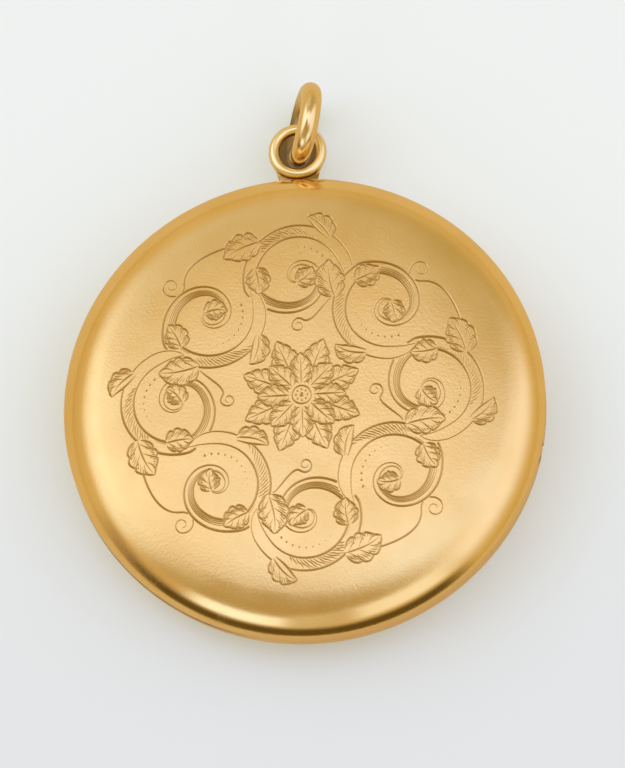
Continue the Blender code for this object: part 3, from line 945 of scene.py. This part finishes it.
def engravedFace(rimRadius):
    # triangles between all the edges and middles of the strokes, out to a plain round rim
    points, edges = [], []

    def addLine(line, closed=False):
        start = len(points)
        points.extend(Vector(p[:2]) for p in line)
        edges.extend((k, k + 1) for k in range(start, len(points) - 1))
        if closed:
            edges.append((len(points) - 1, start))

    steps = caseShape["turnSteps"]
    addLine([polar(rimRadius, 360.0 * k / steps) for k in range(steps)], closed=True)
    for stroke in engraving["strokes"]:
        path = withHeadings([point[:2] for point in stroke])
        widths = [point[2] for point in stroke]
        (x0, y0, a0), (x1, y1, a1) = path[0], path[-1]
        tipA = (x0 - math.cos(a0) * widths[0], y0 - math.sin(a0) * widths[0])
        tipB = (x1 + math.cos(a1) * widths[-1], y1 + math.sin(a1) * widths[-1])
        left = [aside(point, width) for point, width in zip(path, widths)]
        right = [aside(point, -width) for point, width in zip(path, widths)]
        addLine([tipA] + left + [tipB] + right[::-1], closed=True)
        addLine(path)
    for x, y, size in engraving["pits"]:
        addLine([(x + polar(size, a)[0], y + polar(size, a)[1]) for a in range(0, 360, 30)], closed=True)
        points.append(Vector((x, y)))
    fillTo = rimRadius - strokeStyle["fillClear"]
    for radius in np.arange(strokeStyle["fillFrom"], fillTo, strokeStyle["fillStep"]):
        count = max(12, int(radius * strokeStyle["fillDensity"]))
        points.extend(Vector(polar(radius, 360.0 * (k + 0.5) / count)) for k in range(count))
    verts, _, faces, _, _, _ = delaunay_2d_cdt(points, edges, [], 0, strokeStyle["tolerance"], False)
    return np.array([tuple(v) for v in verts]), faces


# Case pieces
hinge = {"length": 7.4, "knuckles": 5, "gap": 0.08, "groove": 0.06, "flush": 0.02, "pin": 0.3,
         "pinPlay": 0.05, "pinRecess": 0.1, "pinDome": 0.12, "bevel": {front: 50.0, back: 65.0},
         "setback": 0.1, "ease": 0.05}
rimShape = {"solder": 0.05, "bore": 16.0, "shelfBore": 14.6, "shelfTop": 1.42, "shelfUnder": 1.77,
            "lip": (16.2, 16.6), "lipHeight": 0.6, "play": 0.1, "ease": 0.06}
frameShape = {"outer": 15.9, "skirtBore": 15.1, "bore": 13.6, "top": 0.15, "under": 0.55, "foot": 1.37,
              "ease": 0.05}
stackShape = {"radius": 15.0, "window": (0.60, 0.85), "photo": (0.90, 1.02), "card": (1.07, 1.37),
              "ease": 0.03}
notchShape = {"radius": 0.6, "depth": 0.35}
knuckleRadius = caseRadius - hingeX
throughLength = 4.0             # of tools that cut right through


def eased(outline, amount):
    # takes the arris off every corner of a closed outline
    out = []
    for k, point in enumerate(outline):
        before, after = outline[k - 1], outline[(k + 1) % len(outline)]
        one, two = Vector(before) - Vector(point), Vector(after) - Vector(point)
        if point[0] < 1e-6 or one.angle(two) > math.radians(155.0):     # on the axis, or hardly a corner
            out.append(point)
            continue
        for run in (one, two):
            out.append(tuple(Vector(point) + run.normalized() * min(amount, run.length / 3.0)))
    return out


def shellRadius(side, level, inset):
    # radius of the shell at a level, along the wall and then the arcs
    for middle, radius, first, _ in reversed(edgeArcs(side, "lining")):
        reach = radius - inset
        if level <= middle[1] + reach * math.cos(first):
            rise = max(0.0, level - middle[1])
            return middle[0] + math.sqrt(reach * reach - rise * rise)


def hingeTools(side):
    # the trough for the knuckles, and the wedge that lets the halves swing apart
    trough = tube(knuckleRadius + hinge["groove"], hinge["length"] + 2.0 * hinge["gap"], (0, 1, 0),
                  (hingeX, 0, seamZ))
    apex, far, past = hingeX - hinge["setback"], caseRadius + 1.0, -0.1 * side
    rise = side * (far - apex) * math.tan(math.radians(hinge["bevel"][side]))
    section = [(apex, past), (far, past), (far, rise), (apex, 0.0)]
    wedge = bmesh.new()
    one, two = [[wedge.verts.new((x * mm, y * mm, (seamZ + z) * mm)) for x, z in section]
                for y in (-caseRadius, caseRadius)]
    for k in range(4):
        wedge.faces.new((one[k - 1], one[k], two[k], two[k - 1]))
    wedge.faces.new(one[::-1])
    wedge.faces.new(two)
    bmesh.ops.recalc_face_normals(wedge, faces=wedge.faces)
    return [loose(trough, "trough"), loose(wedge, "wedge")]


def coverShell(name, side):
    sheet, ease = caseShape["sheet"], caseShape["edgeBreak"]
    arris = [(caseRadius - ease * (1.0 - math.cos(a)), caseShape["seam"] + ease * (1.0 - math.sin(a)))
             for a in (0.0, 0.4, 0.8, 1.2, math.pi / 2.0)]
    outline = (shellOutline(side, 0.0, caseShape["arcSteps"]) + arris
               + [(caseRadius - sheet, caseShape["seam"])]
               + shellOutline(side, sheet, caseShape["insideSteps"])[::-1])
    return carve(loose(turned(outline, side), name), hingeTools(side))


def layFace(obj):
    # swaps the plain middle of the lid for the engraved one
    rim = faceRim()[0]
    spots, triangles = engravedFace(rim)
    depths = cutDepths(spots)
    levels = faceLevel(np.hypot(spots[:, 0], spots[:, 1])) - depths
    bm = bmesh.new()
    bm.from_mesh(obj.data)
    floorLevel = (seamZ + halfDepth - caseShape["sheet"] * 0.5 - 1.0) * mm
    reach = (rim + 0.01) * mm
    middle = [f for f in bm.faces if f.normal.z > 0.5
              and all(v.co.xy.length < reach and v.co.z > floorLevel for v in f.verts)]
    bmesh.ops.delete(bm, geom=middle, context='FACES')
    deep = bm.verts.layers.float.new("cutDepth")
    fresh = []
    for (x, y), level, depth in zip(spots, levels, depths):
        vert = bm.verts.new((x * mm, y * mm, (seamZ + level) * mm))
        vert[deep] = depth
        fresh.append(vert)
    for triangle in triangles:
        face = bm.faces.new([fresh[k] for k in triangle])
        if face.normal.z < 0.0:
            face.normal_flip()
    rimVerts = [v for v in bm.verts if any(len(e.link_faces) < 2 for e in v.link_edges)]
    bmesh.ops.remove_doubles(bm, verts=rimVerts, dist=strokeStyle["tolerance"] * mm)
    bm.normal_update()
    bm.to_mesh(obj.data)
    bm.free()


def readAll(items, name, width, kind=float):
    # one value or vector from every item of a mesh
    values = np.empty(len(items) * width, dtype=kind)
    items.foreach_get(name, values)
    return values.reshape(-1, width) if width > 1 else values


def trueNormals(obj, side):
    # smooth normals from the shape itself on the outer skin, plain ones in the cuts
    shade(obj)
    mesh = obj.data
    normals = readAll(mesh.corner_normals, "vector", 3)
    corners = readAll(mesh.loops, "vertex_index", 1, np.int32)
    sizes = readAll(mesh.polygons, "loop_total", 1, np.int32)
    flats = np.repeat(readAll(mesh.polygons, "normal", 3), sizes, axis=0)
    at = readAll(mesh.vertices, "co", 3)[corners] / mm
    radius = np.hypot(at[:, 0], at[:, 1])
    slope = faceSlope(radius, side)
    out = np.sin(slope) / np.maximum(radius, 1e-6)
    skin = np.stack([at[:, 0] * out, at[:, 1] * out, side * np.cos(slope)], axis=1)
    outer = (flats * skin).sum(1) > math.cos(math.radians(caseShape["skinAngle"]))
    normals[outer] = skin[outer]
    if "cutDepth" in mesh.attributes:
        cuts = readAll(mesh.attributes["cutDepth"].data, "value", 1)
        faceOf = np.repeat(np.arange(len(sizes)), sizes)
        deepest = np.zeros(len(sizes))
        np.maximum.at(deepest, faceOf, cuts[corners])
        cut = deepest[faceOf] > strokeStyle["shallow"]
        normals[cut] = flats[cut]
    mesh.normals_split_custom_set(normals.tolist())


def rimOutline(side):
    wall, under = caseShape["lining"][side][0], rimShape["shelfUnder"]
    inset = caseShape["sheet"] + rimShape["solder"]
    levels = [seamFace] + [wall + (under - wall) * k / 8.0 for k in range(9)]
    outline = [(shellRadius(side, level, inset), level) for level in levels]
    outline += [(rimShape["shelfBore"], under), (rimShape["shelfBore"], rimShape["shelfTop"]),
                (rimShape["bore"], rimShape["shelfTop"])]
    inner, outer = rimShape["lip"]
    if side == front:
        # rebate that the lip closes into
        roof, wallAt = rimShape["lipHeight"] + rimShape["play"], outer + rimShape["play"]
        return outline + [(rimShape["bore"], roof), (wallAt, roof), (wallAt, seamFace)]
    top = -rimShape["lipHeight"]
    return outline + [(rimShape["bore"], seamFace), (inner, seamFace), (inner, top), (outer, top),
                      (outer, seamFace)]


def frameOutline():
    # the face slopes down to the picture in a quarter round
    outer, skirt, bore = frameShape["outer"], frameShape["skirtBore"], frameShape["bore"]
    top, under, foot = frameShape["top"], frameShape["under"], frameShape["foot"]
    thin = (under - top) / 2.0
    slopes = [math.pi / 2.0 * k / 12.0 for k in range(13)]
    outline = [(skirt - (skirt - bore) * math.sin(a), top + thin * (1.0 - math.cos(a))) for a in slopes]
    return outline + [(bore, under), (skirt, under), (skirt, foot), (outer, foot), (outer, top + thin),
                      (outer - thin, top)]


def discOutline(top, under):
    return [(0.0, top), (stackShape["radius"], top), (stackShape["radius"], under), (0.0, under)]


drawWreath()
print("engraving:", len(engraving["strokes"]), "strokes,", len(engraving["pits"]), "dots")

lid = coverShell("lidShell", front)
nick = tube(notchShape["radius"], 2.0 * notchShape["depth"], (1, 0, 0), (-caseRadius, 0, seamZ))
carve(lid, [loose(nick, "nick")])
layFace(lid)
trueNormals(lid, front)
dress(lid, "front_cover", "lid", finishes["engraved"])
shell = coverShell("backShell", back)
trueNormals(shell, back)
dress(shell, "back_cover", "case_back", finishes["satin"])
print("case shells ready:", len(lid.data.polygons), "and", len(shell.data.polygons), "faces")

for half, side, body in (("front", front, "lid"), ("back", back, "case_back")):
    rim = loose(turned(eased(rimOutline(side), rimShape["ease"]), side), half + "Rim")
    dress(shade(carve(rim, hingeTools(side))), half + "_rim", body, finishes["polished"])
    bezel = loose(turned(eased(frameOutline(), frameShape["ease"]), side), half + "Bezel")
    dress(shade(bezel), half + "_photo_frame", body, finishes["polished"])
    for label, node, slot, finish in (("window", "_window", "clear_window", "window"),
                                      ("photo", "_photo", "photo_paper", "paper"),
                                      ("card", "_backing_card", "backing_card", "card")):
        outline = eased(discOutline(*stackShape[label]), stackShape["ease"])
        layer = loose(turned(outline, side), half + label.title())
        dress(shade(layer), half + node, body, finishes[finish])
print("rims, frames and picture layers ready")

# Hinge
spacing = (hinge["length"] + hinge["gap"]) / hinge["knuckles"]
halfKnuckle = (spacing - hinge["gap"]) / 2.0
knuckleBore = hinge["pin"] + hinge["pinPlay"]
layAlongY = Matrix.Rotation(math.pi / 2.0, 4, 'X')
for k in range(hinge["knuckles"]):
    along = (k - (hinge["knuckles"] - 1) / 2.0) * spacing
    outline = [(knuckleBore, -halfKnuckle), (knuckleRadius, -halfKnuckle),
               (knuckleRadius, halfKnuckle), (knuckleBore, halfKnuckle)]
    barrel = turned(eased(outline, hinge["ease"]), steps=72, level=0.0)
    barrel.transform(Matrix.Translation(Vector((hingeX, along, seamZ)) * mm) @ layAlongY)
    knuckle = loose(barrel, "knuckle%d" % (k + 1))
    # trimmed to the round of the case
    trim = tube(caseRadius - hinge["flush"], throughLength, (0, 0, 1), (0, 0, seamZ),
                caseShape["turnSteps"] * 2)
    carve(knuckle, [loose(trim, "trim")], 'INTERSECT')
    dress(shade(knuckle), "hinge_knuckle_%d" % (k + 1), "lid" if k % 2 else "case_back",
          finishes["polished"])
pinReach = hinge["length"] / 2.0 - hinge["pinRecess"]
dome = [(hinge["pin"] * math.sin(a), pinReach - hinge["pinDome"] * (1.0 - math.cos(a)))
        for a in (0.0, 0.35, 0.7, 1.05, 1.4)]
pinEnd = dome + [(hinge["pin"], pinReach - hinge["pinDome"])]
pin = turned(pinEnd + [(r, -y) for r, y in pinEnd[::-1]], steps=48, level=0.0)
pin.transform(Matrix.Translation(Vector((hingeX, 0.0, seamZ)) * mm) @ layAlongY)
dress(shade(loose(pin, "hingePin")), "hinge_pin", "case_back", finishes["pin"])
print("hinge ready")

# Eye and ring
eyeShape = {"radius": 1.88, "wire": 0.44, "below": 0.3, "footWidth": 2.7, "footDepth": 0.6,
            "footDrop": 0.25, "neckWidth": 3.9, "neckDepth": 0.45, "neckTop": 1.25,
            "narrows": 0.7, "thickens": 2, "grain": 0.04, "melt": 6, "sharp": 50.0}
ringShape = {"wire": 0.82, "turn": -10.24, "lean": 14.0}


def eyeFoot(z):
    # solder that fills the sides below the wire, narrowing to the foot
    bm = bmesh.new()
    rows, levels, around = [], 12, 48
    top, foot = eyeY - eyeShape["neckTop"], caseRadius - eyeShape["wire"]
    neckWidth, neckDepth = eyeShape["neckWidth"], eyeShape["neckDepth"]
    turns = [2.0 * math.pi * j / around for j in range(around)]
    for k in range(levels + 1):
        share = k / levels
        wide = (neckWidth + (eyeShape["footWidth"] - neckWidth) * share ** eyeShape["narrows"]) / 2.0
        deep = (neckDepth + (eyeShape["footDepth"] - neckDepth) * share ** eyeShape["thickens"]) / 2.0
        y = top + (foot - top) * share
        points = [Vector((wide * math.cos(a), y, z + deep * math.sin(a))) for a in turns]
        rows.append([bm.verts.new(point * mm) for point in points])
    bm.faces.new(rows[0])
    bm.faces.new(rows[-1][::-1])
    return skinRows(bm, rows)


def wholeCase():
    # the closed case with a solder gap, which the foot is fitted to
    steps = caseShape["arcSteps"]
    under = [(radius, -level) for radius, level in shellOutline(back, -rimShape["solder"], steps)]
    return turned(shellOutline(front, -rimShape["solder"], steps) + under[::-1])


eyeZ = seamZ - eyeShape["below"]
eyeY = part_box("pendant_eye")[1].y / mm - eyeShape["radius"] - eyeShape["wire"]
eye = loose(wireRing(eyeShape["radius"], eyeShape["wire"], (0.0, eyeY, eyeZ), Matrix.Identity(3)), "eye")
hole = loose(tube(eyeShape["radius"] - eyeShape["wire"], throughLength, (0, 0, 1), (0, eyeY, eyeZ)), "hole")
foot = carve(loose(eyeFoot(eyeZ - eyeShape["footDrop"]), "foot"), [hole])
carve(eye, [foot], 'UNION')
grain = eye.modifiers.new("grain", 'REMESH')
grain.mode = 'VOXEL'
grain.voxel_size = eyeShape["grain"] * mm
melt = eye.modifiers.new("melt", 'SMOOTH')
melt.iterations = eyeShape["melt"]
bakeModifiers(eye)
carve(eye, [loose(wholeCase(), "caseRound")])
dress(shade(eye, eyeShape["sharp"]), "pendant_eye", "case_back", finishes["eye"])

low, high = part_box("jump_ring")
pose = (Matrix.Rotation(math.radians(ringShape["turn"]), 3, 'Z')
        @ Matrix.Rotation(math.radians(90.0 + ringShape["lean"]), 3, 'Y'))
ringReach = (high.y - low.y) / 2.0 / mm
ringRadius = (ringReach - ringShape["wire"]) / math.sqrt(1.0 - pose.col[2].y ** 2)
ringMesh = wireRing(ringRadius, ringShape["wire"], tuple((low + high) / 2.0 / mm), pose)
dress(shade(loose(ringMesh, "jumpRing")), "jump_ring", "ring", finishes["ring"])
print("eye and ring ready: ring radius %.3f" % ringRadius)


# Floor
floorLook = {"size": 3.0, "colour": (0.68, 0.71, 0.72, 1.0), "grainScale": 900.0, "grain": 0.01,
             "cloudScale": 40.0, "clouds": (0.3, 0.7), "bright": 0.86, "dull": 0.94, "sheen": 0.1,
             # the paper's glow, painted dimmer towards the front (near) than at the back (far)
             "paper": (0.287, 0.307, 0.237, 1.0), "near": -28.0, "far": 25.0,
             "nearLift": 0.7, "farLift": 1.0,
             # a painted shadow under the eye: its place, inner and outer radius, and its dark colour
             "paintedShadowAt": (-0.22, 23.06), "paintedShadowFrom": 1.5, "paintedShadowTo": 2.2, "shade": (0.10, 0.06, 0.02, 1.0),
             # painted reflection: the paper's colour and glow where the metal mirrors it
             "paintedBounceColour": (0.80, 0.69, 0.42, 1.0), "inMetal": (0.08, 0.06, 0.02, 1.0)}


def paperSweepFinish(look):
    material, tree, shader = newMaterial("paperSweep")
    ray = tree.nodes.new('ShaderNodeLightPath')
    inMetal = ray.outputs["Is Glossy Ray"]
    x, y, _ = splitAxes(tree)
    # painted shadow: a dark spot on the paper under the eye, seen through its hole
    paintedShadowX, paintedShadowY = look["paintedShadowAt"]
    fromPaintedShadow = hypotenuse(tree, minus(tree, x, paintedShadowX * mm), minus(tree, y, paintedShadowY * mm))
    shaded = fade(tree, fromPaintedShadow, look["paintedShadowFrom"] * mm, look["paintedShadowTo"] * mm)
    # painted reflection: where the metal mirrors the paper, the paper turns a warm gold, standing in for
    # light bounced off the gold
    tone = mixColour(tree, inMetal, look["colour"], look["paintedBounceColour"])
    rough = mapRange(tree, noise(tree, look["cloudScale"]), *look["clouds"], look["bright"], look["dull"])
    joinShader(tree, shader, mixColour(tree, shaded, tone, look["shade"]), rough,
               noise(tree, look["grainScale"], 3.0), look["grain"])
    shader.inputs["Specular IOR Level"].default_value = look["sheen"]
    # seen by the camera and in the metal, the paper is a little paler than the room alone makes it; painted
    # shade makes this glow dimmer towards the front
    seen = mathNode(tree, 'MAXIMUM', ray.outputs["Is Camera Ray"], inMetal)
    paintedFalloff = mapRange(tree, y, look["near"] * mm, look["far"] * mm, look["nearLift"], look["farLift"])
    # painted reflection: in the metal the paper's glow is dim and warm
    lifted = mixColour(tree, inMetal, look["paper"], look["inMetal"])
    tree.links.new(times(tree, seen, paintedFalloff), shader.inputs["Emission Strength"])
    # the painted shadow darkens the glow too
    tree.links.new(mixColour(tree, shaded, lifted, look["shade"]), shader.inputs["Emission Color"])
    return material


floorMesh = bmesh.new()
bmesh.ops.create_grid(floorMesh, x_segments=24, y_segments=24, size=floorLook["size"])
floor = loose(floorMesh, "paperSweep")
floor.data.materials.append(paperSweepFinish(floorLook))

# Light: a pale room with a soft box on each side, bright strips low in front and a warm dark above them
studio = {
    "level": 1.0,
    "room": ((0.0, (0.67, 0.51, 0.24)), (12.0, (0.75, 0.61, 0.36)), (25.0, (0.73, 0.57, 0.30)),
             (38.0, (0.65, 0.56, 0.40)), (50.0, (0.59, 0.57, 0.46)), (62.0, (0.60, 0.41, 0.03)),
             (72.0, (1.06, 0.85, 0.68)), (82.0, (0.79, 0.80, 0.81)), (90.0, (0.73, 0.72, 0.69))),
    # azimuth from the front turning right, elevation, half width and height, softness both ways, colour
    "panels": ((-170.0, 40.0, 40.0, 7.0, 30.0, 12.0, (0.74, 0.70, 0.66)),
               (-105.0, 55.0, 20.0, 15.0, 24.0, 24.0, (1.35, 1.45, 1.88)),
               (90.0, 58.0, 30.0, 24.0, 26.0, 26.0, (1.12, 1.15, 1.52)),
               (150.0, 42.0, 14.0, 16.0, 22.0, 22.0, (0.55, 0.45, 0.24)),
               (-60.0, 8.0, 10.0, 8.0, 16.0, 12.0, (0.47, 0.35, 0.23)),
               (-12.0, 57.0, 26.0, 18.0, 34.0, 14.0, (0.49, 0.38, 0.18)),
               (-28.0, 26.0, 10.0, 5.0, 12.0, 7.0, (1.30, 1.45, 2.00)),
               (28.0, 32.0, 12.0, 8.0, 12.0, 7.0, (1.10, 1.15, 1.45)),
               (0.0, 29.0, 5.0, 8.0, 12.0, 8.0, (0.72, 0.64, 0.55)),
               (-8.0, -4.0, 48.0, 15.0, 18.0, 8.0, (0.12, 0.08, 0.02))),
    # azimuth, elevation, inner and outer reach in degrees, colour
    "caps": ((-50.0, 77.0, 4.0, 20.0, (0.40, 0.25, 0.02)),
             (70.0, 78.0, 5.0, 20.0, (1.14, 1.32, 1.97)),
             (-165.0, 80.0, 6.0, 16.0, (1.34, 1.42, 2.00))),
}
world = bpy.data.worlds.new("studio")
bpy.context.scene.world = world
world.use_nodes = True
sky = world.node_tree
direction = sky.nodes.new('ShaderNodeTexCoord').outputs["Generated"]


def dotWith(vector):
    node = sky.nodes.new('ShaderNodeVectorMath')
    node.operation = 'DOT_PRODUCT'
    node.inputs[1].default_value = vector
    sky.links.new(direction, node.inputs[0])
    return node.outputs["Value"]


def towards(azimuth, elevation):
    a, e = math.radians(azimuth), math.radians(elevation)
    return math.cos(e) * math.sin(a), -math.cos(e) * math.cos(a), math.sin(e)


def within(angle, inner, outer):
    return fade(sky, angle, math.radians(inner), math.radians(outer))


def withinBand(angle, half, soft):
    return within(mathNode(sky, 'ABSOLUTE', angle), half, half + soft)


rising = mathNode(sky, 'ARCSINE', dotWith((0.0, 0.0, 1.0)))
room = sky.nodes.new('ShaderNodeValToRGB')
for k, (elevation, colour) in enumerate(studio["room"]):
    stop = room.color_ramp.elements[k] if k < 2 else room.color_ramp.elements.new(1.0)
    stop.position = elevation / 90.0
    stop.color = colour + (1.0,)
sky.links.new(mathNode(sky, 'DIVIDE', rising, math.pi / 2.0), room.inputs["Fac"])
glow = room.outputs["Color"]
for azimuth, elevation, wide, tall, softWide, softTall, colour in studio["panels"]:
    ahead, across = towards(azimuth, 0.0), towards(azimuth + 90.0, 0.0)
    turn = mathNode(sky, 'ARCTAN2', dotWith(across), dotWith(ahead))
    lift = minus(sky, rising, math.radians(elevation))
    mask = times(sky, withinBand(turn, wide, softWide), withinBand(lift, tall, softTall))
    glow = mixColour(sky, mask, glow, colour + (1.0,))
for azimuth, elevation, near, far, colour in studio["caps"]:
    away = mathNode(sky, 'ARCCOSINE', dotWith(towards(azimuth, elevation)))
    glow = mixColour(sky, within(away, near, far), glow, colour + (1.0,))
sky.links.new(glow, sky.nodes["Background"].inputs["Color"])
sky.nodes["Background"].inputs["Strength"].default_value = studio["level"]

# Camera at the photo's view
view = {"azimuth": 10.545, "elevation": 70.981, "roll": -12.942, "distance": 0.6,
        "focalPixels": 7617.09, "tallPixels": 768.0, "centreShift": (0.560, 2.088),
        "sensorWidth": 36.0, "nearest": 0.01}
camera = bpy.data.cameras.new("photoView")
camera.sensor_width = view["sensorWidth"]
camera.lens = view["focalPixels"] * camera.sensor_width / view["tallPixels"]
camera.clip_start = view["nearest"]
eyePoint = bpy.data.objects.new("photoView", camera)
bpy.context.scene.collection.objects.link(eyePoint)
outward = Vector(towards(view["azimuth"], view["elevation"]))
upward = (Vector((0.0, 0.0, 1.0)) - outward * outward.z).normalized()
rightward = upward.cross(outward)
roll = math.radians(view["roll"])
camX = rightward * math.cos(roll) + upward * math.sin(roll)
camY = upward * math.cos(roll) - rightward * math.sin(roll)
shiftX, shiftY = view["centreShift"]
target = Vector((0.0, 0.0, seamZ * mm)) + (camX * shiftX + camY * shiftY) * mm
eyePoint.matrix_world = Matrix.Translation(target + outward * view["distance"]) @ Matrix(
    (camX, camY, outward)).transposed().to_4x4()
bpy.context.scene.camera = eyePoint
bpy.context.scene.view_settings.view_transform = 'Standard'
print("camera, light and floor ready")
